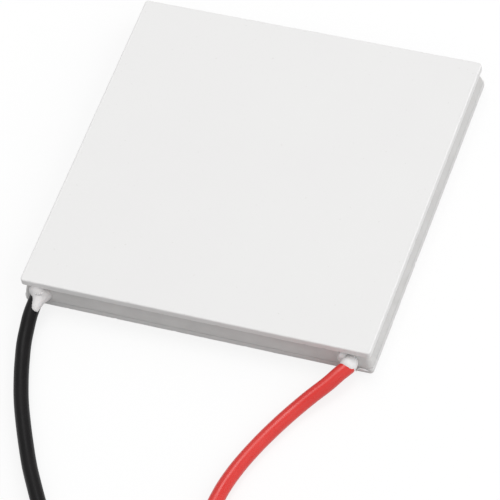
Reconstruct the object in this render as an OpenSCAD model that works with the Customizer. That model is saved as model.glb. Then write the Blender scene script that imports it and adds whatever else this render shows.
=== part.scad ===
// Thermoelectric cooling module. Two ceramic plates hold a chain of
// semiconductor legs between copper tabs. A silicone bead closes the edge,
// and two leads come out at the front corners.
// The origin is the middle of the lower face. The leads leave towards -Y.

/* [Plates] */
// Side of each square ceramic plate
plate_side = 40; // [30:1:50]
// Thickness of each ceramic plate
plate_t = 0.8; // [0.6:0.05:1.2]
// Radius of the plates' upright corners
plate_corner_r = 0.4; // [0.2:0.1:1]
// Bevel along the plates' outer edges
plate_bevel = 0.12; // [0.05:0.01:0.25]

/* [Legs] */
// Side of a semiconductor leg
leg_side = 1.4; // [1:0.1:1.6]
// Height of a semiconductor leg
leg_h = 1.4; // [1.2:0.1:2.5]
// Space between neighbouring legs
leg_gap = 1; // [0.8:0.1:1.5]

/* [Tabs and solder] */
// Thickness of a copper tab
tab_t = 0.35; // [0.2:0.05:0.5]
// How far a tab reaches past its legs
tab_lip = 0.1; // [0.05:0.05:0.3]
// Thickness of a solder film
solder_t = 0.05; // [0.03:0.01:0.1]
// How far a solder film reaches past its leg
solder_lip = 0.05; // [0.02:0.01:0.1]

/* [Edge seal] */
// Width of the silicone bead
seal_w = 0.8; // [0.5:0.05:1]
// How far the bead stays inside the plates' edges
seal_inset = 0.05; // [0.02:0.01:0.2]
// Radius of the bead's upright corners
seal_corner_r = 1; // [0.5:0.1:2]
// Depth of the hollow in the bead's outer face
seal_hollow = 0.12; // [0.05:0.01:0.3]
// Smallest space between the bead and the tabs
seal_gap = 0.2; // [0.1:0.05:0.5]

/* [Leads] */
// Diameter of a lead over its insulation
lead_d = 1.65; // [1.2:0.05:2]
// Diameter of the tinned conductor
core_d = 0.9; // [0.5:0.05:1]
// How far the red conductor lies off the middle of its tab
red_core_shift = -0.2; // [-0.3:0.05:0.3]
// How far the black conductor lies off the middle of its tab
black_core_shift = -0.15; // [-0.3:0.05:0.3]
// How far a conductor reaches inwards past the middle of its place on the tab
core_seat = 0.4; // [0.2:0.1:0.7]
// Distance from the plates to the bend in the red conductor
knee_out = 0.4; // [0.3:0.05:0.8]
// Distance from that bend to the insulation of the red lead
red_strip = 0.55; // [0.4:0.05:1]
// Distance from the plates to the insulation of the black lead
black_strip = 0.3; // [0.2:0.05:0.8]
// Length over which the insulated leads set off level
level_l = 1; // [0.8:0.1:1.5]
// Width of the solder mound round a conductor
mound_w = 1.4; // [1.1:0.1:1.6]
// Length of the straight part of a solder mound
mound_l = 0.8; // [0.4:0.1:1.2]
// Radius of the silicone ball at the red lead
red_blob_r = 0.85; // [0.7:0.05:1]
// Radius of the silicone lump at the black lead
black_blob_r = 0.95; // [0.7:0.05:1.1]
// Distance from the black lead's axis to the middle of that lump
black_blob_side = 0.5; // [0.3:0.1:0.8]
// Distance from the middle of that lump to the tip of its tongue
tongue_l = 1.9; // [1.5:0.1:2.5]
// Length of bare conductor at a lead's free end
tip_l = 4; // [3:1:8]

/* [Stored coils] */
// Turns in the lowest layer of a coil
base_turns = 3; // [2:1:4]
// Width of a coil at the middle of its turns, in lead diameters
coil_widths = 10.5; // [10:0.5:12]
// Thickness of the tie round a coil
tie_t = 0.2; // [0.1:0.05:0.4]
// Angle of the coil that the tie covers
tie_angle = 14; // [8:1:30]

/* [Hidden] */

$fn = 48;
// overlap that keeps cuts clear of the faces that they pass
cut = 1;

// heights from the lower face upwards
hot_tab_z = plate_t;
hot_solder_z = hot_tab_z + tab_t;
leg_z = hot_solder_z + solder_t;
cold_solder_z = leg_z + leg_h;
cold_tab_z = cold_solder_z + solder_t;
cold_plate_z = cold_tab_z + tab_t;
space_h = cold_plate_z - plate_t;

// the grid of legs: an even number of rows, as many as fit inside the bead
pitch = leg_side + leg_gap;
tab_side = leg_side + 2 * tab_lip;
grid_room = plate_side - 2 * (seal_inset + seal_w + seal_gap) - tab_side;
rows = 2 * floor((grid_room / pitch + 1) / 2);
last_spot = rows * rows - 1;
grid_edge = pitch * (rows - 1) / 2;

// the bead's hollow is part of a long cylinder along each side
hollow_r = (pow(space_h / 2, 2) + pow(seal_hollow, 2)) / (2 * seal_hollow);

// places of the leads
core_z = hot_solder_z + solder_t + core_d / 2;
lying_z = lead_d / 2;
front_y = -plate_side / 2;
red_exit = [grid_edge + red_core_shift, front_y];
black_exit = [-grid_edge + black_core_shift, front_y];

// Routes from each exit: across, along and how high, where 1 is the height
// of the conductor on its tab and 0 is lying on the table.
red_route = [
    [-1.5, -2.9, 0.8], [-3, -5, 0.4], [-4.4, -7.2, 0.05], [-5.7, -9.8, 0],
    [-6.8, -12.4, 0], [-7.7, -15, 0], [-8.3, -17.5, 0], [-8.6, -20, 0],
    [-8.8, -23, 0], [-8.8, -26, 0], [-8.8, -28.6, 0], [-8.8, -31.2, 0]
];
black_route = [
    [-0.1, -2.6, 0.9], [0.1, -4.2, 0.55], [0.4, -6, 0.2], [1, -8, 0],
    [1.9, -10.5, 0], [2.9, -13, 0], [4.1, -15.5, 0], [5.4, -18, 0],
    [6.8, -20.5, 0], [8.4, -23, 0], [10.1, -25.6, 0], [11.7, -28.6, 0],
    [13, -31.9, 0], [13.8, -35.3, 0], [14, -38, 0], [14, -40.4, 0]
];
// Tail of each lead from where it leaves the coil: along, outwards and how
// high, where 1 is the height of the coil's upper layer.
tail_route = [
    [0, 0, 1], [2, 0.05, 1.1], [3.5, 0.15, 1.15], [5, 0.3, 1.05],
    [6.5, 0.45, 0.65], [8, 0.55, 0.2], [9.5, 0.6, 0], [11, 0.6, 0]
];

// coil measures: the upper layer lies in the grooves of the lower one
coil_r = coil_widths * lead_d / 2;
layer_step = lead_d * sqrt(0.75);
coil_h = lead_d + layer_step;
coil_corner = lead_d * (1 - sqrt(0.5));
outer_turn_r = coil_r + (base_turns - 1) * lead_d / 2;
upper_turn_r = outer_turn_r - lead_d / 2;
upper_z = tie_t + lying_z + layer_step;

// inner end of the conductors
core_back = core_seat - grid_edge;

function unit(v) = v / norm(v);

// place of a leg on the plate, counted along the chain, which goes up one
// column and down the next
function spot(k) =
    let (column = floor(k / rows), step = k % rows)
    let (row = column % 2 == 0 ? step : rows - 1 - step)
    [pitch * column - grid_edge, pitch * row - grid_edge];

// points of a lead's route in space
function lead_points(exit, route) = [
    for (p = route)
        [exit.x + p[0], exit.y + p[1], lying_z + p[2] * (core_z - lying_z)]
];

// the insulated stretch, which starts level and then follows its route
function lead_path(start, way, exit, route) =
    concat([start, start + level_l * way], lead_points(exit, route));

// middle of the coil, so that the path runs into its outermost turn
function coil_middle(exit, route, side) =
    let (end = exit + [route[len(route) - 1][0], route[len(route) - 1][1]])
    end + [side * outer_turn_r, 0];

// path of the tail, which leaves the coil on the side away from its lead
function tail_path(middle, side) = [
    for (p = tail_route)
        [middle.x + side * (upper_turn_r + p[1]), middle.y + p[0],
         lying_z + p[2] * (upper_z - lying_z)]
];

// the red conductor bends at its knee, and the black one goes straight on
red_knee = [red_exit.x, red_exit.y - knee_out, core_z];
red_way = unit([red_route[0][0], red_route[0][1] + knee_out, 0]);
red_start = red_knee + red_strip * red_way;
red_path = lead_path(red_start, red_way, red_exit, red_route);
black_way = [0, -1, 0];
black_start = [black_exit.x, black_exit.y - black_strip, core_z];
black_path = lead_path(black_start, black_way, black_exit, black_route);

// slope of the silicone tongue, and its turn away from straight ahead
tongue_tilt = 115;
tongue_turn = 25;

// side of each lead on which its coil lies: 1 is +X
red_side = 1;
black_side = -1;
red_coil_at = coil_middle(red_exit, red_route, red_side);
black_coil_at = coil_middle(black_exit, black_route, black_side);
// angles at which the ties lie on their coils
red_tie_at = -60;
black_tie_at = -120;
tube_sides = 8;

// One ring of points round each point of a path, square to the path there
function ring_points(path, r, sides) = [
    for (i = [0:len(path) - 1])
        let (ahead = path[min(i + 1, len(path) - 1)])
        let (behind = path[max(i - 1, 0)])
        let (way = unit(ahead - behind))
        let (across = unit(cross(way, [0, 0, 1])))
        let (up = cross(across, way))
        for (j = [0:sides - 1])
            let (a = 360 * j / sides)
            path[i] + r * (cos(a) * across + sin(a) * up)
];

// Tube swept along a path, closed at both ends
module swept_tube(path, d, sides) {
    rings = len(path);
    walls = [
        for (i = [0:rings - 2], j = [0:sides - 1])
            let (next = (j + 1) % sides)
            [i * sides + j, i * sides + next,
             (i + 1) * sides + next, (i + 1) * sides + j]
    ];
    start_cap = [for (j = [sides - 1:-1:0]) j];
    end_cap = [for (j = [0:sides - 1]) (rings - 1) * sides + j];
    polyhedron(ring_points(path, d / 2, sides), concat([start_cap, end_cap], walls));
}

// Square outline with round corners
module round_square(side, r) {
    square([side, side - 2 * r], center = true);
    square([side - 2 * r, side], center = true);
    for (x = [-1, 1], y = [-1, 1])
        translate([x, y] * (side / 2 - r)) circle(r);
}

// Ceramic plate with its outer face on z = 0 and bevels round that face
module plate() {
    difference() {
        linear_extrude(plate_t) round_square(plate_side, plate_corner_r);
        for (turn = [0:90:270])
            rotate(turn)
                translate([0, -plate_side / 2, 0])
                    rotate([45, 0, 0])
                        cube([plate_side + cut, plate_bevel * sqrt(2), plate_bevel * sqrt(2)],
                             center = true);
    }
}

// Tab across the two neighbouring spots a and b
module tab(a, b, z) {
    reach = spot(b) - spot(a);
    middle = (spot(a) + spot(b)) / 2;
    translate([middle.x, middle.y, z + tab_t / 2])
        cube([abs(reach.x) + tab_side, abs(reach.y) + tab_side, tab_t], center = true);
}

// Leg at every second spot from the first one given
module legs(first) {
    for (k = [first:2:last_spot - 1])
        translate([spot(k).x, spot(k).y, leg_z + leg_h / 2])
            cube([leg_side, leg_side, leg_h], center = true);
}

// Solder film at every leg
module solder_films(z) {
    film = leg_side + 2 * solder_lip;
    for (k = [1:last_spot - 1])
        translate([spot(k).x, spot(k).y, z + solder_t / 2])
            cube([film, film, solder_t], center = true);
}

// Straight conductor along the tab, from its inner end to the given y
module straight_conductor(x, end_y) {
    translate([x, core_back, core_z])
        rotate([90, 0, 0]) cylinder(h = core_back - end_y, d = core_d);
}

// Black conductor, up to its insulation
module black_conductor() {
    straight_conductor(black_exit.x, black_start.y);
}

// Piece of conductor along +Y, cut at the origin for a bend
module mitred_conductor(length, tilt) {
    difference() {
        translate([0, length, 0])
            rotate([90, 0, 0]) cylinder(h = length + core_d, d = core_d);
        rotate(tilt)
            translate([0, -core_d, 0])
                cube([4 * core_d, 2 * core_d, 2 * core_d], center = true);
    }
}

// Red conductor: along the tab, round its bend and on to its insulation
module red_conductor() {
    angle = acos(-red_way.y);
    translate(red_knee) {
        mitred_conductor(core_back - red_knee.y, -angle / 2);
        rotate(180 - angle) mitred_conductor(red_strip, angle / 2);
    }
}

// Solder mound round a conductor, flat on its tab
module solder_mound(x) {
    difference() {
        translate([x, -grid_edge, hot_solder_z]) {
            rotate([90, 0, 0]) cylinder(h = mound_l, d = mound_w, center = true);
            for (end = [-1, 1])
                translate([0, end * mound_l / 2, 0]) sphere(d = mound_w);
        }
        translate([x, -grid_edge, hot_solder_z - mound_w / 2])
            cube([mound_w + cut, mound_l + mound_w + cut, mound_w], center = true);
        straight_conductor(x, front_y);
    }
}

// Silicone bead with a hollow outer face, still without its two bores
module bead_ring() {
    outer = plate_side - 2 * seal_inset;
    translate([0, 0, plate_t])
        difference() {
            linear_extrude(space_h)
                difference() {
                    round_square(outer, seal_corner_r);
                    square(outer - 2 * seal_w, center = true);
                }
            for (turn = [0:90:270])
                rotate(turn)
                    translate([0, -outer / 2 + seal_hollow - hollow_r, space_h / 2])
                        rotate([0, 90, 0])
                            cylinder(h = plate_side + cut, r = hollow_r, center = true, $fn = 96);
        }
}

// What the silicone at a lead leaves free: plates, bead and insulation
module lead_clearance(start, way) {
    plate();
    translate([0, 0, 2 * plate_t + space_h]) mirror([0, 0, 1]) plate();
    bead_ring();
    translate(start)
        rotate([0, 90, atan2(way.y, way.x)])
            cylinder(h = 2 * lead_d, d = lead_d);
}

// Lump of silicone with a pointed tongue along +Z
module silicone_lump(r, tongue) {
    root_angle = 20;
    rotate_extrude()
        intersection() {
            union() {
                circle(r);
                polygon([[0, 0], [r * cos(root_angle), r * sin(root_angle)], [0, tongue]]);
            }
            translate([0, -r]) square([r, r + tongue]);
        }
}

// Outline of a coil's section round the middle of its turns, grown on all sides
function coil_outline(grow) =
    let (foot = base_turns * lead_d / 2 + grow, top = foot - lead_d / 2)
    let (corner = coil_corner + grow * (2 - sqrt(2)), h = coil_h + grow)
    [[coil_r - foot + corner, -grow], [coil_r + foot - corner, -grow],
     [coil_r + foot, corner - grow], [coil_r + foot, lead_d - coil_corner],
     [coil_r + top, h - corner], [coil_r + top - corner, h],
     [coil_r - top + corner, h], [coil_r - top, h - corner],
     [coil_r - foot, lead_d - coil_corner], [coil_r - foot, corner - grow]];

// Outer shape of a coil of lead, lying on its tie
module coil(middle) {
    translate([middle.x, middle.y, tie_t])
        rotate_extrude() polygon(coil_outline(0));
}

// Tie wrapped round the coil at one place
module coil_tie(middle, at) {
    translate([middle.x, middle.y, tie_t])
        rotate(at - tie_angle / 2)
            rotate_extrude(angle = tie_angle)
                difference() {
                    polygon(coil_outline(tie_t));
                    polygon(coil_outline(0));
                }
}

// Insulated stretch of a lead, up to the side of its coil
module lead(path, middle) {
    difference() {
        swept_tube(path, lead_d, tube_sides);
        coil(middle);
    }
}

// Insulated end of a lead, from the side of its coil
module lead_tail(middle, side) {
    difference() {
        swept_tube(tail_path(middle, side), lead_d, tube_sides);
        coil(middle);
    }
}

// Bare end of a lead
module lead_tip(middle, side) {
    path = tail_path(middle, side);
    translate(path[len(path) - 1])
        rotate([-90, 0, 0]) cylinder(h = tip_l, d = core_d);
}

module cold_plate() {
    color("whitesmoke")
        translate([0, 0, cold_plate_z + plate_t]) mirror([0, 0, 1]) plate();
}

module hot_plate() {
    color("whitesmoke") plate();
}

module cold_tabs() {
    color("peru")
        for (k = [1:2:last_spot - 2]) tab(k, k + 1, cold_tab_z);
}

module hot_tabs() {
    color("peru")
        for (k = [2:2:last_spot - 3]) tab(k, k + 1, hot_tab_z);
}

module negative_terminal_tab() {
    color("peru") tab(0, 1, hot_tab_z);
}

module positive_terminal_tab() {
    color("peru") tab(last_spot - 1, last_spot, hot_tab_z);
}

module n_type_legs() {
    color("dimgray") legs(2);
}

module p_type_legs() {
    color("slategray") legs(1);
}

module cold_solder() {
    color("silver") solder_films(cold_solder_z);
}

module hot_solder() {
    color("silver") solder_films(hot_solder_z);
}

module edge_seal() {
    color("gainsboro")
        difference() {
            bead_ring();
            straight_conductor(red_exit.x, front_y);
            straight_conductor(black_exit.x, front_y);
        }
}

module red_lead_core() {
    color("silver") red_conductor();
}

module black_lead_core() {
    color("silver") black_conductor();
}

module red_lead_solder() {
    color("silver") solder_mound(red_exit.x);
}

module black_lead_solder() {
    color("silver") solder_mound(black_exit.x);
}

module red_lead_seal() {
    color("white")
        difference() {
            translate(red_knee) sphere(red_blob_r);
            lead_clearance(red_start, red_way);
            red_conductor();
        }
}

module black_lead_seal() {
    color("white")
        difference() {
            translate([black_exit.x + black_blob_side, black_start.y, core_z])
                rotate([tongue_tilt, 0, tongue_turn]) silicone_lump(black_blob_r, tongue_l);
            lead_clearance(black_start, black_way);
            black_conductor();
        }
}

module red_lead() {
    color("firebrick") lead(red_path, red_coil_at);
}

module black_lead() {
    color("black") lead(black_path, black_coil_at);
}

module red_lead_coil() {
    color("firebrick") coil(red_coil_at);
}

module black_lead_coil() {
    color("black") coil(black_coil_at);
}

module red_lead_tail() {
    color("firebrick") lead_tail(red_coil_at, red_side);
}

module black_lead_tail() {
    color("black") lead_tail(black_coil_at, black_side);
}

module red_lead_tip() {
    color("silver") lead_tip(red_coil_at, red_side);
}

module black_lead_tip() {
    color("silver") lead_tip(black_coil_at, black_side);
}

module red_coil_tie() {
    color("white") coil_tie(red_coil_at, red_tie_at);
}

module black_coil_tie() {
    color("white") coil_tie(black_coil_at, black_tie_at);
}

cold_plate();
hot_plate();
cold_tabs();
hot_tabs();
negative_terminal_tab();
positive_terminal_tab();
n_type_legs();
p_type_legs();
cold_solder();
hot_solder();
edge_seal();
red_lead_core();
black_lead_core();
red_lead_solder();
black_lead_solder();
red_lead_seal();
black_lead_seal();
red_lead();
black_lead();
red_lead_coil();
black_lead_coil();
red_lead_tail();
black_lead_tail();
red_lead_tip();
black_lead_tip();
red_coil_tie();
black_coil_tie();
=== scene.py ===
from math import cos, pi, radians, sin, tau

import bpy
import numpy as np
from mathutils import Matrix, Vector


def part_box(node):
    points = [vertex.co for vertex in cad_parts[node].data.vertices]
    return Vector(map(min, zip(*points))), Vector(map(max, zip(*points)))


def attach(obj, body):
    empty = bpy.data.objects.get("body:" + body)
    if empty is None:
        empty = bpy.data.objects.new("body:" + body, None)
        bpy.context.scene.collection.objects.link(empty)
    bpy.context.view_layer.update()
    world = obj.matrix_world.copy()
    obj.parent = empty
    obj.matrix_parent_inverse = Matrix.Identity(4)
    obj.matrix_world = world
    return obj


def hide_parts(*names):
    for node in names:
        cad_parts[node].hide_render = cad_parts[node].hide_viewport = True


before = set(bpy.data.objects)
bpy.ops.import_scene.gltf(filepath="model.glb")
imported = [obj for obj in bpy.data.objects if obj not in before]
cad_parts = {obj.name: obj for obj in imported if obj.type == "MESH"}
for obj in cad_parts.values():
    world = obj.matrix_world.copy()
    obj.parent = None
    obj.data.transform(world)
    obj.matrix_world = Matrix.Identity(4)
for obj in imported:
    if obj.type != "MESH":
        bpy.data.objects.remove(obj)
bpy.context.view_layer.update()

mm = 0.001


def mmBox(node):  # lowest and highest corner of a CAD node, in millimetres
    low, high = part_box(node)
    return np.array(low) / mm, np.array(high) / mm


def mmMiddle(node):
    low, high = mmBox(node)
    return (low + high) / 2


print("stage: camera")
mainCamera = {
    "aim": (2.5, -9.02, 1.9),  # point it looks at, mm
    "distance": 410.6,         # from that point, mm
    "azimuth": 29.74,          # how far round to the right it stands, degrees
    "elevation": 53.32,        # how far above the table it looks from, degrees
    "roll": -12.91,            # how far it is turned about its own axis, degrees
    "lens": 273.7,             # long lens, mm
    "sensor": 36,
}


def makeCamera(c):
    azimuth, elevation, roll = (radians(c[k]) for k in ("azimuth", "elevation", "roll"))
    back = Vector((sin(azimuth) * cos(elevation), -cos(azimuth) * cos(elevation), sin(elevation)))
    level = Vector((cos(azimuth), sin(azimuth), 0))
    right = level * cos(roll) + back.cross(level) * sin(roll)
    turned = Matrix((right, back.cross(right), back)).transposed().to_4x4()
    data = bpy.data.cameras.new("mainCamera")
    data.lens = c["lens"]
    data.sensor_width = c["sensor"]
    camera = bpy.data.objects.new("mainCamera", data)
    bpy.context.scene.collection.objects.link(camera)
    camera.matrix_world = Matrix.Translation((Vector(c["aim"]) + back * c["distance"]) * mm) @ turned
    bpy.context.scene.camera = camera


makeCamera(mainCamera)


def smoothStep(x, low, high):  # 0 below low, 1 above high, and an S between them
    t = np.clip((x - low) / (high - low), 0, 1)
    return t * t * (3 - 2 * t)


# A curve through the points whose slope at each one is the mean of the two
# slopes beside it, weighted by how near they are. It comes back as points
# that lie one step apart along it.
def smoothPath(points, step):
    points = np.asarray(points, float)
    gap = np.linalg.norm(np.diff(points, axis=0), axis=1)
    at = np.concatenate([[0], np.cumsum(gap)])
    slope = np.diff(points, axis=0) / gap[:, None]
    inner = (slope[:-1] * gap[1:, None] + slope[1:] * gap[:-1, None]) / (gap[:-1] + gap[1:])[:, None]
    slope = np.concatenate([slope[:1], inner, slope[-1:]])
    u = np.arange(0, at[-1], step / 8)
    k = np.clip(np.searchsorted(at, u, side="right") - 1, 0, len(gap) - 1)
    h = gap[k, None]
    t = (u[:, None] - at[k, None]) / h
    curve = ((2 * t**3 - 3 * t**2 + 1) * points[k] + (t**3 - 2 * t**2 + t) * h * slope[k]
             + (3 * t**2 - 2 * t**3) * points[k + 1] + (t**3 - t**2) * h * slope[k + 1])
    run = distances(curve)
    even = np.linspace(0, run[-1], int(run[-1] / step) + 1)
    return np.stack([np.interp(even, run, curve[:, i]) for i in range(3)], axis=1)


def distances(path):  # of each point of a path from its start, measured along it
    return np.concatenate([[0], np.cumsum(np.linalg.norm(np.diff(path, axis=0), axis=1))])


# Places at distances s along a path, with the level direction across it there
# and the direction that stands on both
def alongPath(path, s):
    run = distances(path)
    way = np.gradient(path, run, axis=0)
    across = np.cross(way, (0, 0, 1))
    across /= np.linalg.norm(across, axis=1)[:, None]
    up = np.cross(across, way / np.linalg.norm(way, axis=1)[:, None])
    return [np.stack([np.interp(s, run, v[:, i]) for i in range(3)], axis=-1)
            for v in (path, across, up)]


# Quads between neighbouring rings of a grid, each ring closed on itself
def ringFaces(rings, sides, start=0):
    j, i = np.meshgrid(np.arange(sides), np.arange(rings - 1))
    after = (j + 1) % sides
    corners = [i * sides + j, i * sides + after, (i + 1) * sides + after, (i + 1) * sides + j]
    return start + np.stack(corners, axis=-1).reshape(-1, 4)


# Grid of rings whose first and last ring shrink to a point: all its points
# once, with quads between the rings and triangles round both poles
def closedRings(grid):
    rings, sides = grid.shape[:2]
    points = np.concatenate([grid[0, :1], grid[1:-1].reshape(-1, grid.shape[2]), grid[-1, :1]])
    ring = np.arange(sides)
    after = (ring + 1) % sides
    last = 1 + (rings - 3) * sides
    first = np.stack([np.zeros(sides, int), 1 + after, 1 + ring], axis=1)
    end = np.stack([last + ring, last + after, np.full(sides, len(points) - 1)], axis=1)
    return points, ringFaces(rings - 2, sides, 1).tolist() + first.tolist() + end.tolist()


def joinShells(shells):  # several meshes' points and faces as those of one
    starts = np.cumsum([0] + [len(points) for points, faces in shells])
    faces = [[start + i for i in face] for start, shell in zip(starts, shells) for face in shell[1]]
    return np.concatenate([points for points, _ in shells]), faces


# Piece with its points in millimetres, which rides on the body. skin, where it
# is given, is kept as an attribute for patterns that follow the surface.
def makePiece(name, points, faces, material, slotName, skin=None):
    mesh = bpy.data.meshes.new(name)
    mesh.from_pydata((points * mm).tolist(), [], faces)
    mesh.polygons.foreach_set("use_smooth", [True] * len(faces))
    if skin is not None:
        layer = mesh.attributes.new("skin", "FLOAT_VECTOR", "POINT")
        layer.data.foreach_set("vector", (skin * mm).astype(np.float32).ravel())
    mesh.update()
    mesh.materials.append(material)
    piece = bpy.data.objects.new(name, mesh)
    bpy.context.scene.collection.objects.link(piece)
    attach(piece, "root")
    return piece


# Seeded unevenness over two parameters: the sum of waves with random slants
# and starts, about 1 at its highest. u closes on itself from 0 to 1.
def unevenness(rng, u, v, uWaves, vWaves, count=20):
    total = 0
    for i in range(count):
        slant = tau * (rng.integers(1, uWaves) * u + rng.normal(0, vWaves) * v)
        total = total + np.cos(slant + rng.uniform(0, tau))
    return total / (1.6 * count ** 0.5)


print("stage: materials")


def hexColour(text):  # sRGB hex to the linear colour that shaders take
    levels = [int(text[i:i + 2], 16) / 255 for i in (1, 3, 5)]
    return [c / 12.92 if c <= 0.04045 else ((c + 0.055) / 1.055) ** 2.4 for c in levels] + [1]


# Adds a node with its settings and links. A setting goes to the input of that
# name or number or, where the name is a property, to the property.
def addNode(tree, kind, settings=None, links=None):
    node = tree.nodes.new("ShaderNode" + kind)
    for key, value in (settings or {}).items():
        if isinstance(key, str) and hasattr(node, key):
            setattr(node, key, value)
        else:
            node.inputs[key].default_value = value
    for key, source in (links or {}).items():
        tree.links.new(source, node.inputs[key])
    return node


def newMaterial(name):
    material = bpy.data.materials.new(name)
    material.use_nodes = True
    material.node_tree.nodes.clear()
    return material, material.node_tree


def finishMaterial(tree, settings, links):  # the shader and its output
    shader = addNode(tree, "BsdfPrincipled", settings, links)
    addNode(tree, "OutputMaterial", links={"Surface": shader.outputs[0]})


def perMetre(sizeMm):  # texture scale that makes its features this large
    return 1 / (sizeMm * mm)


def objectPlace(tree, stretch=(1, 1, 1), turn=0):  # Object coordinates, stretched and turned
    where = addNode(tree, "TexCoord").outputs["Object"]
    settings = {"Scale": stretch, "Rotation": (0, 0, turn)}
    return addNode(tree, "Mapping", settings, {"Vector": where}).outputs[0]


def skinPlace(tree, stretch=(1, 1, 1)):  # the piece's own coordinates, laid out straight
    where = addNode(tree, "Attribute", {"attribute_name": "skin"}).outputs["Vector"]
    return addNode(tree, "Mapping", {"Scale": stretch}, {"Vector": where}).outputs[0]


def noiseLevel(tree, place, sizeMm, detail=3):
    return addNode(tree, "TexNoise", {"Scale": perMetre(sizeMm), "Detail": detail},
                   {"Vector": place}).outputs["Fac"]


def ramp(tree, level, fromLow, fromHigh, toLow, toHigh):
    return addNode(tree, "MapRange", {"From Min": fromLow, "From Max": fromHigh, "To Min": toLow,
                                      "To Max": toHigh}, {"Value": level}).outputs[0]


def mixColour(tree, share, low, high, blend="MIX"):  # low and high are hex texts or sockets
    node = addNode(tree, "MixRGB", {"blend_type": blend}, {0: share})
    for place, colour in ((1, low), (2, high)):
        if isinstance(colour, str):
            node.inputs[place].default_value = hexColour(colour)
        else:
            tree.links.new(colour, node.inputs[place])
    return node.outputs[0]


def bump(tree, height, depthMm, strength, normal=None):
    links = {"Height": height}
    if normal is not None:
        links["Normal"] = normal
    return addNode(tree, "Bump", {"Distance": depthMm * mm, "Strength": strength}, links).outputs[0]


# White alumina ceramic, pressed, fired and lapped flat. It gives the eye a
# clean cold white with hardly any sheen, a fine grain seen only from near,
# faint grinding marks all one way and a few pale grey inclusions. Its laser-cut
# edges are scored with upright lines. The second argument greys those edges with a painted shade,
# standing in for the shade that falls on the lower plate's edge.
def makeAlumina(name, edgeShade):
    material, tree = newMaterial(name)
    place = objectPlace(tree)
    cloud = noiseLevel(tree, place, 9, 4)
    colour = mixColour(tree, cloud, "#EBEAEA", "#EDEDEC")
    speck = ramp(tree, noiseLevel(tree, place, 0.35, 1), 0.74, 0.8, 0, 0.35)
    colour = mixColour(tree, speck, colour, "#D6D4D1")
    marks = noiseLevel(tree, objectPlace(tree, (1, 0.02, 1), radians(12)), 0.12, 2)
    grain = noiseLevel(tree, place, 0.1, 2)
    scores = noiseLevel(tree, skinPlace(tree, (1, 0.15, 0)), 0.16, 2)  # 0.1 mm pitch, drawn wider
    rim = addNode(tree, "SeparateXYZ", links={
        "Vector": addNode(tree, "Attribute", {"attribute_name": "skin"}).outputs["Vector"]}).outputs[2]
    rim = ramp(tree, rim, 0, mm, 0, 1)
    # painted shade: greys the edge faces by the share given
    shadedEdge = addNode(tree, "Math", {"operation": "MULTIPLY", 1: edgeShade}, {0: rim}).outputs[0]
    colour = mixColour(tree, shadedEdge, colour, "#D3D2D1")
    scored = addNode(tree, "Math", {"operation": "MULTIPLY"}, {0: scores, 1: rim}).outputs[0]
    normal = bump(tree, grain, 0.012, 0.35)
    normal = bump(tree, marks, 0.006, 0.25, normal)
    normal = bump(tree, scored, 0.04, 0.5, normal)
    rough = ramp(tree, marks, 0.3, 0.7, 0.42, 0.55)
    finishMaterial(tree, {"IOR": 1.5, "Specular IOR Level": 0.2},
                   {"Base Color": colour, "Roughness": rough, "Normal": normal})
    return material


# White silicone sealant, squeezed in from a tube and smoothed with a finger.
# It gives the eye a soft slightly greyer white, a damp gloss that comes and
# goes, and shallow ripples where the finger stuck and slipped.
def makeSilicone(name, dark, light):
    material, tree = newMaterial(name)
    place = objectPlace(tree)
    cloud = noiseLevel(tree, place, 1.6, 4)
    colour = mixColour(tree, ramp(tree, cloud, 0.3, 0.7, 0, 1), dark, light)
    ripple = noiseLevel(tree, objectPlace(tree, (1, 1, 2)), 0.45, 2)
    normal = bump(tree, ripple, 0.06, 0.5)
    normal = bump(tree, noiseLevel(tree, place, 0.09, 2), 0.01, 0.3, normal)
    rough = ramp(tree, noiseLevel(tree, place, 0.7, 3), 0.3, 0.7, 0.36, 0.56)
    finishMaterial(tree, {"IOR": 1.41, "Subsurface Weight": 0.12, "Subsurface Scale": 0.4 * mm,
                          "Subsurface Radius": (1, 0.9, 0.8)},
                   {"Base Color": colour, "Roughness": rough, "Normal": normal})
    return material


# PVC insulation, extruded round the conductor. It gives the eye a strong even
# colour, one long soft highlight, fine lines from the die that run along the
# lead and dull patches where it was handled.
def makeInsulation(name, base, worn, rough, specular):
    material, tree = newMaterial(name)
    lines = noiseLevel(tree, skinPlace(tree, (1, 1, 0.01)), 0.14, 2)
    handled = noiseLevel(tree, skinPlace(tree, (1, 1, 0.35)), 1.3, 4)
    colour = mixColour(tree, ramp(tree, handled, 0.35, 0.75, 0, 1), base, worn)
    dimple = noiseLevel(tree, skinPlace(tree), 0.5, 2)
    normal = bump(tree, lines, 0.012, 0.4)
    normal = bump(tree, dimple, 0.02, 0.35, normal)
    gloss = ramp(tree, handled, 0.3, 0.7, rough - 0.06, rough + 0.08)
    finishMaterial(tree, {"IOR": 1.53, "Specular IOR Level": specular},
                   {"Base Color": colour, "Roughness": gloss, "Normal": normal})
    return material


# Hot-tinned copper strands, drawn and dipped. They give the eye a soft silver
# with dull streaks along each strand and a warm hint where the tin is thin.
def makeTinnedCopper():
    material, tree = newMaterial("hot_tinned_copper")
    streak = noiseLevel(tree, skinPlace(tree, (1, 1, 0.08)), 0.2, 3)
    thin = ramp(tree, noiseLevel(tree, skinPlace(tree), 0.9, 3), 0.58, 0.75, 0, 0.5)
    colour = mixColour(tree, streak, "#B9B6B1", "#D8D6D2")
    colour = mixColour(tree, thin, colour, "#C79A78")
    rough = ramp(tree, streak, 0.3, 0.7, 0.24, 0.42)
    finishMaterial(tree, {"Metallic": 1}, {"Base Color": colour, "Roughness": rough,
                                           "Normal": bump(tree, streak, 0.01, 0.4)})
    return material


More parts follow.
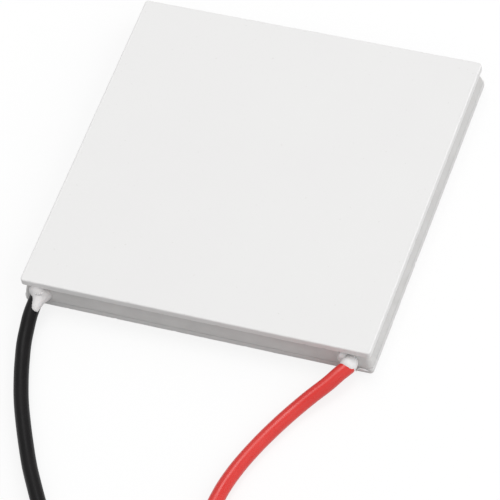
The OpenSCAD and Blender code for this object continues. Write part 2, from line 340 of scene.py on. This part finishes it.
# Solder that was melted and set. It gives the eye a bright grey metal with
# frosty grains and small dimples.
def makeSolder():
    material, tree = newMaterial("reflowed_solder")
    place = objectPlace(tree)
    grains = addNode(tree, "TexVoronoi", {"Scale": perMetre(0.12)},
                     {"Vector": place}).outputs["Distance"]
    frost = noiseLevel(tree, place, 0.3, 4)
    colour = mixColour(tree, frost, "#A9A9A8", "#CDCDCB")
    rough = ramp(tree, frost, 0.3, 0.7, 0.28, 0.5)
    normal = bump(tree, grains, 0.01, 0.4)
    finishMaterial(tree, {"Metallic": 1}, {"Base Color": colour, "Roughness": rough, "Normal": normal})
    return material


# Rolled copper strip, cut and bonded to the ceramic. It gives the eye a warm
# metal with fine rolling lines one way and browner tarnish in patches.
def makeCopper():
    material, tree = newMaterial("rolled_copper")
    lines = noiseLevel(tree, objectPlace(tree, (1, 0.03, 1)), 0.06, 2)
    tarnish = ramp(tree, noiseLevel(tree, objectPlace(tree), 1.8, 4), 0.42, 0.72, 0, 0.7)
    colour = mixColour(tree, lines, "#C77F5A", "#DB9A73")
    colour = mixColour(tree, tarnish, colour, "#8F5740")
    rough = ramp(tree, lines, 0.3, 0.7, 0.25, 0.4)
    finishMaterial(tree, {"Metallic": 1}, {"Base Color": colour, "Roughness": rough,
                                           "Normal": bump(tree, lines, 0.004, 0.4)})
    return material


# Bismuth telluride, grown as a crystal and sawn into posts. It gives the eye a
# dark grey metal in flat crystal patches of different shine, with level lines
# from the saw.
def makeTelluride(name, dark, light):
    material, tree = newMaterial(name)
    patch = addNode(tree, "TexVoronoi", {"Scale": perMetre(0.5)},
                    {"Vector": objectPlace(tree, (1, 1, 0.5))}).outputs["Color"]
    shade = addNode(tree, "RGBToBW", links={"Color": patch}).outputs[0]
    saw = noiseLevel(tree, objectPlace(tree, (0.05, 0.05, 1)), 0.05, 2)
    colour = mixColour(tree, shade, dark, light)
    rough = ramp(tree, shade, 0, 1, 0.3, 0.55)
    finishMaterial(tree, {"Metallic": 0.9}, {"Base Color": colour, "Roughness": rough,
                                             "Normal": bump(tree, saw, 0.008, 0.5)})
    return material


# White PVC band, calendered smooth and cut from a roll. It gives the eye a
# thin milky strip with a satin sheen and a few lengthwise creases.
def makeBand():
    material, tree = newMaterial("calendered_white_pvc")
    crease = noiseLevel(tree, skinPlace(tree, (1, 0.1, 1)), 0.35, 3)
    colour = mixColour(tree, crease, "#E4E2DC", "#F0EEEA")
    finishMaterial(tree, {"Roughness": 0.4, "IOR": 1.53},
                   {"Base Color": colour, "Normal": bump(tree, crease, 0.03, 0.5)})
    return material


alumina = makeAlumina("lapped_white_alumina", 0)
# the lower plate's alumina, its edges greyed by a painted shade
edgeShadedAlumina = makeAlumina("lapped_white_alumina_with_painted_edge_shade", 0.4)
# the same silicone as the dabs, made darker with a painted shade for the bead that lies in shade
# between the plates
shadedBeadSilicone = makeSilicone("smoothed_silicone_with_painted_shade", "#D2D1D0", "#D9D8D7")
lumpSilicone = makeSilicone("dabbed_silicone", "#ECEAEA", "#F1F0F0")
# the same silicone as the dabs, made darker with a painted shade for the lump beside the black lead
# that lies in the plate's shade
shadedLumpSilicone = makeSilicone("smeared_silicone_with_painted_shade", "#DEDCDC", "#E5E3E3")
redInsulation = makeInsulation("extruded_red_pvc", "#DA2720", "#E0322A", 0.3, 0.6)
blackInsulation = makeInsulation("extruded_black_pvc", "#121112", "#191718", 0.42, 0.16)
tinnedCopper = makeTinnedCopper()
solder = makeSolder()
copper = makeCopper()
nTelluride = makeTelluride("sawn_n_bismuth_telluride", "#4A4B4D", "#74767A")
pTelluride = makeTelluride("sawn_p_bismuth_telluride", "#5A5A58", "#868683")
whiteBand = makeBand()

print("stage: leads")
leads = {
    "diameter": 1.65,     # over the insulation
    "core": 0.9,          # over the tinned conductor
    "sides": 20,          # of the insulation's rings
    "step": 0.35,         # between its rings
    "levelLength": 1.0,   # over which it sets off level
    "knee": 0.4,          # from the plates to the red conductor's bend
    "redStrip": 0.55,     # bare conductor from there
    "blackStrip": 0.3,    # bare conductor from the plates
    "hole": 0.44,         # radius inside the insulation
    "holeDepth": 0.6,
    "coreDepth": 0.54,    # how far the conductor reaches into it
    "coreStep": 0.1,      # between points of the conductor's line
    "coreBend": 0.3,      # of the red conductor on both sides of its knee
    "edge": 0.08,         # rounding of the cut end
    "redCut": 0.4,        # how far the red insulation's end was cut askew
    "blackCut": 0.3,
    "cutFade": 0.8,       # over which the rings come square again
    "wobble": 0.012,      # unevenness of the insulation's radius
    # across, along and how high from each exit: 1 is the height of the
    # conductor on its tab and 0 is lying on the table
    "redRoute": [
        (-1.5, -2.9, 0.8), (-3, -5, 0.4), (-4.4, -7.2, 0.05), (-5.7, -9.8, 0),
        (-6.8, -12.4, 0), (-7.7, -15, 0), (-8.3, -17.5, 0), (-8.6, -20, 0),
        (-8.8, -23, 0), (-8.8, -26, 0), (-8.8, -28.6, 0), (-8.8, -31.2, 0),
    ],
    "blackRoute": [
        (0.05, -2.6, 0.9), (0.22, -4.2, 0.55), (0.5, -6, 0.2), (1.05, -8, 0),
        (1.9, -10.5, 0), (2.9, -13, 0), (4.1, -15.5, 0), (5.4, -18, 0),
        (6.8, -20.5, 0), (8.4, -23, 0), (10.1, -25.6, 0), (11.7, -28.6, 0),
        (13, -31.9, 0), (13.8, -35.3, 0), (14, -38, 0), (14, -40.4, 0),
    ],
    # along, outwards and how high, from where the tail leaves its coil
    "tailRoute": [
        (2, 0.05, 1.1), (3.5, 0.15, 1.15), (5, 0.3, 1.05),
        (6.5, 0.45, 0.65), (8, 0.55, 0.2), (9.5, 0.6, 0), (11, 0.6, 0),
    ],
}


# Middle line of the stored turns, as a function of the angle turned through.
# Three turns lie flat, each stepping in by one diameter over its last sixth.
# Then the lead climbs over the middle one and lies in the grooves for a turn
# and a half, first in the inner groove and then in the outer one.
def coilPath(coilNode, side, diameter):
    low, high = mmBox(coilNode)
    middle = (low + high) / 2
    outer = (high[0] - low[0]) / 2 - diameter / 2
    foot = low[2] + diameter / 2
    climb, lastAngle, between = 990, 1620, 15.0  # degrees
    steps = [(300, -1), (660, -1), (climb, 0.5), (1320, 1)]  # angle where each starts, diameters

    def radiusAt(angle):
        moves = [by * smoothStep(angle, start, start + 60) for start, by in steps]
        return outer + diameter * sum(moves)

    angle = np.arange(0, lastAngle + 1, between)
    radius = radiusAt(angle)
    below = np.stack([radiusAt(angle % 360 + 360 * k) for k in range(3)], axis=1)
    below[angle % 360 + 720 >= climb, 2] = -diameter  # the third turn has left the table there
    rest = np.sqrt(np.maximum(0, diameter**2 - (radius[:, None] - below)**2)).max(axis=1)
    rise = np.where(angle > climb, rest, 0)
    rise = np.convolve(np.pad(rise, 1, mode="edge"), (0.25, 0.5, 0.25), mode="valid")
    height = diameter / 2 + (foot - diameter / 2) * smoothStep(angle, 0, 60) + rise
    turn = np.radians(angle)
    return np.stack([middle[0] - side * radius * np.cos(turn),
                     middle[1] - radius * np.sin(turn), height], axis=1)


# Middle line of a whole lead: level out of its seal, along its route to the
# table, round its stored turns and out to the end of its tail
def leadLine(exit, start, way, route, coilNode, side, w):
    lying = w["diameter"] / 2
    level = start + w["levelLength"] * way
    free = [(exit[0] + p[0], exit[1] + p[1], lying + p[2] * (exit[2] - lying)) for p in route]
    turns = coilPath(coilNode, side, w["diameter"])
    x, y, top = turns[-1]
    tail = [(x + side * p[1], y + p[0], lying + p[2] * (top - lying)) for p in w["tailRoute"]]
    line = smoothPath(np.concatenate([[start, level], free, turns[1:], tail]), w["step"])
    line[:, 2] = np.maximum(line[:, 2], lying)
    return line


# Insulation swept along its line. The ring of a station lies square to the
# line there, and its radius is the skin's with a slight wobble. A slanting cut
# moves the first rings to and fro by lean times the cosine of the angle round
# the lead. At both ends the skin turns in over a small round edge and goes
# back as the hole that holds the conductor.
def makeLead(name, line, w, lean, leanAt, seed, material, slotName):
    rng = np.random.default_rng(seed)
    length = distances(line)[-1]
    r, edge, hole, deep = w["diameter"] / 2, w["edge"], w["hole"], w["holeDepth"]
    turn = np.radians([22.5, 45, 67.5, 90])
    endStation = np.concatenate([[deep, deep, edge, 0, 0], edge * (1 - np.cos(turn))])
    endRadius = np.concatenate([[0, hole, hole, hole + edge, r - edge], r - edge * (1 - np.sin(turn))])
    station = np.concatenate([endStation, np.arange(w["step"], length - w["step"], w["step"]),
                              length - endStation[::-1]])
    radius = np.concatenate([endRadius, np.full(len(station) - 2 * len(endRadius), r), endRadius[::-1]])
    angle = tau * np.arange(w["sides"]) / w["sides"]
    u, v = np.meshgrid(angle / tau, station)
    swell = np.where(radius > r * 0.99, w["wobble"], 0)[:, None] * unevenness(rng, u, v, 3, 0.12)
    shift = lean * np.exp(-station / w["cutFade"])
    s = station[:, None] + shift[:, None] * np.cos(angle - leanAt)
    ahead = line[3] - line[0]
    reach = np.concatenate([line[:1] - ahead, line])  # lets the first rings lean back
    place, across, up = alongPath(reach, s + np.linalg.norm(ahead))
    ring = np.cos(angle)[:, None] * across + np.sin(angle)[:, None] * up
    grown = radius[:, None] - np.abs(swell)
    flat = np.stack([grown * np.cos(angle), grown * np.sin(angle), s], axis=-1)
    points, faces = closedRings(np.concatenate([place + grown[..., None] * ring, flat], axis=-1))
    return makePiece(name, points[:, :3], faces, material, slotName, points[:, 3:])


# Bundle of seven strands along a line. Strand k lies at the angle k/6 of a
# turn plus the turns that the lay has made up to there, one strand width from
# the middle, and the seventh runs straight. Towards the free end they part.
strands = {
    "layLength": 9,   # over which a strand goes once round
    "sides": 10,
    "step": 0.2,
    "splay": 0.35,    # how far the strands part at a free end, in strand widths
    "cut": 0.15,      # by which a strand may be shorter than the rest
}


def makeStrands(name, line, diameter, splay, seed, b):
    rng = np.random.default_rng(seed)
    length = distances(line)[-1]
    thick = diameter / 3
    s = np.concatenate([[0], np.linspace(0, length, int(length / b["step"]) + 2), [length]])
    ends = np.concatenate([[0], np.full(len(s) - 2, thick / 2), [0]])
    ends[[1, -2]] *= 0.8
    place, across, up = alongPath(line, s)
    way = (line[-1] - line[-2]) / np.linalg.norm(line[-1] - line[-2])
    angle = tau * np.arange(b["sides"]) / b["sides"]
    shells = []
    for k in range(7):
        turned = tau * (k / 6 + s / b["layLength"])
        out = (thick if k < 6 else 0) + thick * splay * rng.uniform(0.2, 1) * (s / length) ** 3
        shorter = rng.uniform(-b["cut"], 0) * (s / length) ** 8
        middle = (place + (out * np.cos(turned))[:, None] * across
                  + (out * np.sin(turned))[:, None] * up + shorter[:, None] * way)
        ring = np.cos(angle)[:, None] * across[:, None] + np.sin(angle)[:, None] * up[:, None]
        grid = middle[:, None] + ends[:, None, None] * ring
        flat = np.broadcast_arrays(thick / 2 * np.cos(angle) + k, thick / 2 * np.sin(angle), s[:, None])
        shells.append(closedRings(np.concatenate([grid, np.stack(flat, axis=-1)], axis=-1)))
    points, faces = joinShells(shells)
    return makePiece(name, points[:, :3], faces, tinnedCopper, "tinned_copper", points[:, 3:])


frontY = mmBox("cold_plate")[0][1]
coreZ = mmMiddle("black_lead_core")[2]
coreEndY = mmBox("black_lead_core")[1][1]
redExit = np.array([mmMiddle("red_lead_solder")[0], frontY, coreZ])
blackExit = np.array([mmMiddle("black_lead_solder")[0], frontY, coreZ])
redKnee = redExit - (0, leads["knee"], 0)
redWay = np.array([*leads["redRoute"][0][:2], 0]) + (0, leads["knee"], 0)
redWay /= np.linalg.norm(redWay)
redStart = redKnee + leads["redStrip"] * redWay
blackStart = blackExit - (0, leads["blackStrip"], 0)
blackWay = np.array([0, -1, 0])
redLine = leadLine(redExit, redStart, redWay, leads["redRoute"], "red_lead_coil", 1, leads)
blackLine = leadLine(blackExit, blackStart, blackWay, leads["blackRoute"], "black_lead_coil", -1, leads)

redLead = makeLead("red_wire", redLine, leads, leads["redCut"], 0, 11, redInsulation, "red_insulation")
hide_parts("red_lead", "red_lead_coil", "red_lead_tail")
blackLead = makeLead("black_wire", blackLine, leads, leads["blackCut"], pi, 12, blackInsulation,
                     "black_insulation")
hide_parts("black_lead", "black_lead_coil", "black_lead_tail")

redCoreLine = smoothPath([
    (redExit[0], coreEndY, coreZ),
    redKnee + (0, 5 * leads["coreBend"], 0),
    redKnee + (0, leads["coreBend"], 0),
    redKnee + leads["coreBend"] * redWay,
    redStart + leads["coreDepth"] * redWay], leads["coreStep"])
redCore = makeStrands("red_conductor", redCoreLine, leads["core"], 0, 21, strands)
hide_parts("red_lead_core")
blackCoreLine = smoothPath([
    (blackExit[0], coreEndY, coreZ), blackExit, blackStart + leads["coreDepth"] * blackWay],
    leads["coreStep"])
blackCore = makeStrands("black_conductor", blackCoreLine, leads["core"], 0, 22, strands)
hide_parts("black_lead_core")
tipLow, tipHigh = mmBox("red_lead_tip")
for name, line, seed in (("red", redLine, 23), ("black", blackLine, 24)):
    end = line[-1]
    tipLine = smoothPath([end - (0, leads["coreDepth"], 0), end, end + (0, tipHigh[1] - tipLow[1], 0)],
                         leads["coreStep"])
    makeStrands(name + "_tip", tipLine, leads["core"], strands["splay"], seed, strands)
    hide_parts(name + "_lead_tip")

print("stage: silicone at the leads")
# Lump of silicone as the soft union of balls, seen from a middle that lies
# inside them all. In each direction the surface is where a ray leaves the last
# ball, with a soft maximum over the balls and a seeded unevenness. A ball is
# its middle, from the lead's exit, and its radius.
lumps = {"around": 96, "steps": 64, "sharp": 7, "uneven": 0.02}
redLumps = [  # the ball over the lead's end and the smear beside it
    {"middle": (-0.2, -0.5, 0.1), "balls": [
        (-0.22, -0.55, 0.15, 0.86), (-0.1, -0.1, 0.1, 0.72), (-0.2, -0.4, -0.15, 0.78)]},
    {"middle": (-1.15, 0.25, 0.1), "balls": [
        (-1.1, 0.3, 0.5, 0.5), (-1.2, 0.3, 0, 0.5), (-1.1, 0.3, -0.5, 0.45), (-0.7, 0.3, 0, 0.6)]},
]
blackLumps = [  # the lump with its tongue over the lead, and the ridge on it
    {"middle": (0.35, -0.3, 0.4), "balls": [
        (0.4, -0.2, 0.3, 0.85), (0.2, -0.1, 0.45, 0.8), (0, 0, 0.6, 0.72), (-0.25, 0.1, 0.7, 0.62),
        (0.6, 0, 0.2, 0.72), (0.72, 0.1, 0.1, 0.6), (0.42, -0.45, 0.35, 0.72), (0.43, -0.7, 0.38, 0.65),
        (0.44, -0.95, 0.4, 0.59), (0.45, -1.2, 0.42, 0.54), (0.45, -1.45, 0.42, 0.49),
        (0.45, -1.7, 0.4, 0.44), (0.45, -1.92, 0.37, 0.38)]},
    {"middle": (0.6, -0.5, 1.15), "balls": [
        (0.2, -0.7, 1.08, 0.13), (0.4, -0.68, 1.14, 0.16), (0.6, -0.62, 1.2, 0.17),
        (0.8, -0.55, 1.25, 0.15), (1, -0.48, 1.29, 0.11)]},
]


def makeLump(name, exit, parts, seed, material, l):
    rng = np.random.default_rng(seed)
    u, v = np.meshgrid(np.arange(l["around"]) / l["around"], np.linspace(0, 1, l["steps"]))
    away = np.stack([np.sin(pi * v) * np.cos(tau * u), np.sin(pi * v) * np.sin(tau * u),
                     -np.cos(pi * v)], axis=-1)
    shells = []
    for part in parts:
        middle = np.array(part["middle"])
        reach = 0
        for x, y, z, r in part["balls"]:
            offset = np.array((x, y, z)) - middle
            along = away @ offset
            inside = along**2 - (offset @ offset - r**2)
            leave = np.where(inside > 0, along + np.sqrt(np.maximum(inside, 0)), 0)
            reach = reach + np.maximum(leave, 0) ** l["sharp"]
        reach = reach ** (1 / l["sharp"])
        reach = reach * (1 + l["uneven"] * np.sin(pi * v) * unevenness(rng, u, v, 5, 2))
        shells.append(closedRings(exit + middle + reach[..., None] * away))
    return makePiece(name, *joinShells(shells), material, "silicone")


redSeal = makeLump("red_silicone", redExit, redLumps, 31, lumpSilicone, lumps)
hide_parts("red_lead_seal")
# this lump wears the darker silicone copy, whose grey is painted shade
blackSeal = makeLump("black_silicone", blackExit, blackLumps, 32, shadedLumpSilicone, lumps)
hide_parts("black_lead_seal")

# String of silicone drawn out over the lower plate's edge beside the red lead:
# a round section along a path, whose radius rises and falls as a half wave.
string = {
    "route": [(0.32, -0.14, -1.5), (0.45, -0.15, -1.15), (0.75, -0.14, -0.86), (1.1, -0.12, -0.8),
              (1.45, -0.1, -0.9), (1.75, -0.06, -1.1)],
    "radius": 0.1, "sides": 12, "step": 0.04,
}


def makeString(exit, g):
    line = exit + smoothPath(g["route"], g["step"])
    length = distances(line)[-1]
    s = np.linspace(0, length, len(line))
    place, across, up = alongPath(line, s)
    angle = tau * np.arange(g["sides"]) / g["sides"]
    ring = np.cos(angle)[:, None] * across[:, None] + np.sin(angle)[:, None] * up[:, None]
    radius = g["radius"] * np.sqrt(np.sin(pi * s / length))
    points, faces = closedRings(place[:, None] + radius[:, None, None] * ring)
    return makePiece("silicone_string", points, faces, lumpSilicone, "silicone")


makeString(redExit, string)

print("stage: ties")
# Band round a coil: a thin strip with round edges, carried round the tightest
# loop that holds the section of the turns. In each direction that loop's
# point is the one of all the turns' circles that lies furthest that way.
ties = {"width": 2.1, "edge": 0.06, "around": 120, "redAt": -60, "blackAt": -120}


def makeTie(name, coilNode, at, t):
    low, high = mmBox(coilNode)
    middle = (low + high) / 2
    r = leads["diameter"] / 2
    thick = low[2]
    outer = (high[0] - low[0]) / 2 - r
    foot, top = low[2] + r, high[2] - r
    circles = np.array([(outer, foot), (outer - 2 * r, foot), (outer - 4 * r, foot),
                        (outer - r, top), (outer - 3 * r, top)])
    turn = tau * np.arange(t["around"]) / t["around"]
    normal = np.stack([np.cos(turn), np.sin(turn)], axis=1)
    furthest = circles[np.argmax(normal @ circles.T, axis=1)]
    half, e = t["width"] / 2, t["edge"]
    section = np.array([(-half, 0), (-half, thick - e),
                        (-half + e * 0.3, thick - e * 0.3), (-half + e, thick),
                        (-half / 2, thick), (0, thick), (half / 2, thick), (half - e, thick),
                        (half - e * 0.3, thick - e * 0.3), (half, thick - e), (half, 0), (0, 0)])
    grow = r + section[:, 1][:, None]
    flat = furthest + normal * grow[..., None]          # radius from the coil's axis, and height
    side = np.broadcast_to(section[:, 0][:, None], flat.shape[:2])
    out = np.array([cos(radians(at)), sin(radians(at))])
    points = np.stack([middle[0] + flat[..., 0] * out[0] - side * out[1],
                       middle[1] + flat[..., 0] * out[1] + side * out[0], flat[..., 1]], axis=-1)
    run = np.broadcast_to(turn * grow, flat.shape[:2])
    skin = np.stack([side, run, np.broadcast_to(section[:, 1][:, None], flat.shape[:2])], axis=-1)
    rings = len(section)
    faces = ringFaces(rings + 1, t["around"])[:, ::-1] % (rings * t["around"])
    tie = makePiece(name, points.reshape(-1, 3), faces.tolist(), whiteBand, "tie", skin.reshape(-1, 3))
    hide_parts(coilNode.replace("lead_coil", "coil_tie"))
    return tie


redTie = makeTie("red_tie", "red_lead_coil", ties["redAt"], ties)
blackTie = makeTie("black_tie", "black_lead_coil", ties["blackAt"], ties)

print("stage: plates")
plates = {
    "cornerRadius": 0.4, "topEdge": 0.15, "innerEdge": 0.025,
    "faceRing": 0.3,       # from the edge to the faces' outermost ring
    "spacing": 0.16,       # between points round the outline
    "wave": 0.01,          # unevenness of the cut edge
    "chips": 70, "chipWide": 0.22, "chipDeep": 0.05,
}
bead = {
    "width": 0.8, "cornerRadius": 0.6,
    "proud": 0.03,         # past the box of the solid bead at the lower plate
    "hollow": 0.6,         # by which it draws in under the upper plate
    "power": 1.2,
    "uneven": 0.028, "ripple": 0.02, "mostProud": 0.04,
    "spacing": 0.25, "rings": 17,
    # dabs left by the leads' silicone: place on the front edge, width, height
    "dabs": [(16.5, 0.55, 0.1), (-16.6, 0.6, 0.08), (19.1, 0.4, 0.05)],
}


# Points round a square with round corners, their outward normals and how far
# round they lie: along each side the points are one spacing apart, and each
# corner is a quarter circle.
def roundSquare(side, radius, spacing):
    half = side / 2 - radius
    straight = np.linspace(-half, half, int(2 * half / spacing), endpoint=False)
    bend = np.linspace(0, pi / 2, max(8, int(radius * pi / spacing)), endpoint=False)
    x = np.concatenate([np.full(len(straight), side / 2), half + radius * np.cos(bend)])
    y = np.concatenate([straight, half + radius * np.sin(bend)])
    out = np.concatenate([np.zeros(len(straight)), bend])
    quarter = np.stack([x, y], axis=1)
    points, normals = [], []
    for k in range(4):
        c, s = cos(k * pi / 2), sin(k * pi / 2)
        points.append(quarter @ np.array([[c, s], [-s, c]]))
        normals.append(np.stack([np.cos(out + k * pi / 2), np.sin(out + k * pi / 2)], axis=1))
    points = np.concatenate(points)
    steps = np.linalg.norm(np.roll(points, -1, axis=0) - points, axis=1)
    return points, np.concatenate(normals), np.concatenate([[0], np.cumsum(steps)[:-1]]), steps.sum()


# Plate as an edge profile carried round the outline. u runs round the plate
# and v up the profile: the point is the outline's, moved in by the profile's
# inset plus the cut's waves and the chips, each a shallow bowl that fades with
# the square of the distance from its middle. Beyond the edge the rings shrink
# towards the middle of both faces.
def makePlate(name, node, outerUp, seed, material, p):
    rng = np.random.default_rng(seed)
    low, high = mmBox(node)
    thick = high[2] - low[2]
    outline, normals, run, around = roundSquare(high[0] - low[0], p["cornerRadius"], p["spacing"])
    bend = np.radians(np.linspace(0, 90, 6))

    def edge(r):  # inset and distance from the face
        return np.stack([r * (1 - np.sin(bend)), r * (1 - np.cos(bend))], axis=1)

    inner, outer = edge(p["innerEdge"]), edge(p["topEdge"])
    sideZ = np.linspace(0.2, 0.8, 5) * thick
    profile = np.concatenate([
        [(p["faceRing"], 0)], inner, np.stack([np.zeros(5), sideZ], axis=1),
        np.stack([outer[::-1, 0], thick - outer[::-1, 1]], axis=1), [(p["faceRing"], thick)]])
    inset, z = profile[:, :1], profile[:, 1:]
    u = (run / around)[None, :]
    v = z / thick
    onEdge = smoothStep(inset, 0.28, 0.15)
    rough = p["wave"] * np.maximum(0, 1 + unevenness(rng, u, v * 0.5, 90, 0.6))
    chipAt, chipTop = rng.uniform(0, around, p["chips"]), rng.random(p["chips"]) < 0.7
    chipWide = p["chipWide"] * rng.uniform(0.4, 1.5, p["chips"])
    chipDeep = p["chipDeep"] * rng.uniform(0.3, 1.3, p["chips"])
    away = (run[None, :, None] - chipAt + around / 2) % around - around / 2
    fromFace = np.where(chipTop, thick - z[..., None], z[..., None])
    bowl = np.maximum(0, 1 - (away / chipWide) ** 2 - (fromFace / (chipWide * 0.8)) ** 2)
    rough = (rough + (chipDeep * bowl).max(axis=2)) * onEdge
    ring = outline[None] - (inset + rough)[..., None] * normals[None]
    grid = np.concatenate([ring, np.broadcast_to(z[..., None], ring.shape[:2] + (1,))], axis=-1)
    shrink = np.array([0.97, 0.8, 0.5, 0])[:, None, None]
    bottom = grid[:1] * np.concatenate([shrink, shrink, np.ones_like(shrink)], axis=-1)
    top = grid[-1:] * np.concatenate([shrink, shrink, np.ones_like(shrink)], axis=-1)
    grid = np.concatenate([bottom[::-1], grid, top])
    if not outerUp:
        grid = grid[::-1] * (1, 1, -1) + (0, 0, thick)
    isRim = np.concatenate([np.zeros(len(shrink)), np.ravel(inset < 0.2), np.zeros(len(shrink))])
    isRim = isRim[::1 if outerUp else -1]
    skin = np.stack(np.broadcast_arrays(run[None, :], grid[..., 2], isRim[:, None]), axis=-1)
    points, faces = closedRings(np.concatenate([grid + (0, 0, low[2]), skin], axis=-1))
    plate = makePiece(name, points[:, :3], faces, material, "ceramic", points[:, 3:])
    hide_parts(node)
    return plate


makePlate("cold_ceramic", "cold_plate", True, 41, alumina, plates)
makePlate("hot_ceramic", "hot_plate", False, 42, edgeShadedAlumina, plates)


# Bead round the edge: a closed section carried round the outline. Its outer
# face starts flush with the lower plate and draws in with the power 1.2 of the
# height, with a seeded unevenness that dies out at both plates. Its dabs stand
# out as bell curves.
def makeBead(b):
    rng = np.random.default_rng(51)
    low = mmBox("hot_plate")[1][2]
    high = mmBox("cold_plate")[0][2]
    side = mmBox("edge_seal")[1][0] - mmBox("edge_seal")[0][0]
    outline, normals, run, around = roundSquare(side, b["cornerRadius"], b["spacing"])
    v = np.linspace(0, 1, b["rings"])[:, None]
    u = (run / around)[None, :]
    middle = 4 * v * (1 - v)
    fine, long = unevenness(rng, u, v, 60, 0.8), unevenness(rng, u, v, 14, 0.4)
    inset = (b["hollow"] * v ** b["power"] - b["proud"]
             - np.sqrt(middle) * (b["uneven"] * fine - b["ripple"] * long))
    for x, wide, tall in b["dabs"]:
        front = outline[None, :, 1] < -side / 2 + b["cornerRadius"]
        dab = tall * np.exp(-((outline[None, :, 0] - x) / wide) ** 2)
        inset = inset - np.where(front, dab, 0) * np.sqrt(middle)
    inset = np.maximum(inset, -b["mostProud"])
    outer = outline[None] - inset[..., None] * normals[None]
    height = np.broadcast_to((low + (high - low) * v)[..., None], outer.shape[:2] + (1,))
    outer = np.concatenate([outer, height], axis=-1)
    back = outline - b["width"] * normals
    inner = np.stack([np.concatenate([back, np.full((len(back), 1), z)], axis=1)
                      for z in (high, (low + high) / 2, low)])
    grid = np.concatenate([outer, inner])
    count = len(outline)
    faces = ringFaces(len(grid) + 1, count) % (len(grid) * count)
    # the bead wears the darker silicone copy, whose grey is painted shade
    piece = makePiece("silicone_bead", grid.reshape(-1, 3), faces.tolist(), shadedBeadSilicone, "silicone")
    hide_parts("edge_seal")


makeBead(bead)

print("stage: inner pieces")
innerFinish = {
    "cold_tabs": copper, "hot_tabs": copper,
    "negative_terminal_tab": copper, "positive_terminal_tab": copper,
    "n_type_legs": nTelluride, "p_type_legs": pTelluride,
    "cold_solder": solder, "hot_solder": solder,
    "red_lead_solder": solder, "black_lead_solder": solder,
}
for name, finish in innerFinish.items():
    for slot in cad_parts[name].material_slots:
        slot.material = finish

print("stage: floor and light")
studio = {
    "floor": 6.0,            # side of the floor, m
    "bounce": "#A2A2A2",     # floor as it lights the object
    "glow": 0.8,             # share of the floor's white that no shadow dims
    "world": 0.62,           # strength of the even light all round
    # way from the object, side in m, distance in m and power in W: a lamp behind
    # it for the top and the leads' highlights, and a wide one from the right
    "softboxes": [((-0.12, 0.35, 1), 0.8, 1.6, 6.2), ((0.9, 0.06, 0.3), 2.4, 1.6, 22)],
}


# Flat white floor. It lights the object as a pale grey, and the camera and
# reflections see it white, with a soft shadow under the object.
def makeStudio(s):
    material, tree = newMaterial("floor_white")
    path = addNode(tree, "LightPath").outputs
    seen = path["Is Camera Ray"]
    for kind in ("Is Glossy Ray", "Is Transmission Ray"):
        seen = addNode(tree, "Math", {"operation": "MAXIMUM"}, {0: seen, 1: path[kind]}).outputs[0]
    colour = mixColour(tree, seen, s["bounce"], "#FFFFFF")
    lit = addNode(tree, "BsdfDiffuse", links={"Color": colour})
    glow = addNode(tree, "Emission", {"Strength": 1})
    share = addNode(tree, "Math", {"operation": "MULTIPLY", 1: s["glow"]}, {0: seen})
    shader = addNode(tree, "MixShader",
                     links={0: share.outputs[0], 1: lit.outputs[0], 2: glow.outputs[0]})
    addNode(tree, "OutputMaterial", links={"Surface": shader.outputs[0]})
    half = s["floor"] / 2
    mesh = bpy.data.meshes.new("floor")
    corners = [(-half, -half, 0), (half, -half, 0), (half, half, 0), (-half, half, 0)]
    mesh.from_pydata(corners, [], [(0, 1, 2, 3)])
    mesh.materials.append(material)
    floor = bpy.data.objects.new("floor", mesh)
    bpy.context.scene.collection.objects.link(floor)
    world = bpy.data.worlds.new("studio")
    world.use_nodes = True
    background = world.node_tree.nodes["Background"]
    background.inputs["Color"].default_value = (1, 1, 1, 1)
    background.inputs["Strength"].default_value = s["world"]
    bpy.context.scene.world = world
    for number, (way, size, distance, power) in enumerate(s["softboxes"]):
        data = bpy.data.lights.new(f"softbox{number}", "AREA")
        data.shape = "SQUARE"
        data.size = size
        data.energy = power
        lamp = bpy.data.objects.new(f"softbox{number}", data)
        bpy.context.scene.collection.objects.link(lamp)
        way = Vector(way).normalized()
        lamp.location = way * distance
        lamp.rotation_euler = way.to_track_quat("Z", "Y").to_euler()
        lamp.visible_glossy = number == 0  # one highlight along each lead


makeStudio(studio)
bpy.context.scene.view_settings.view_transform = "Standard"
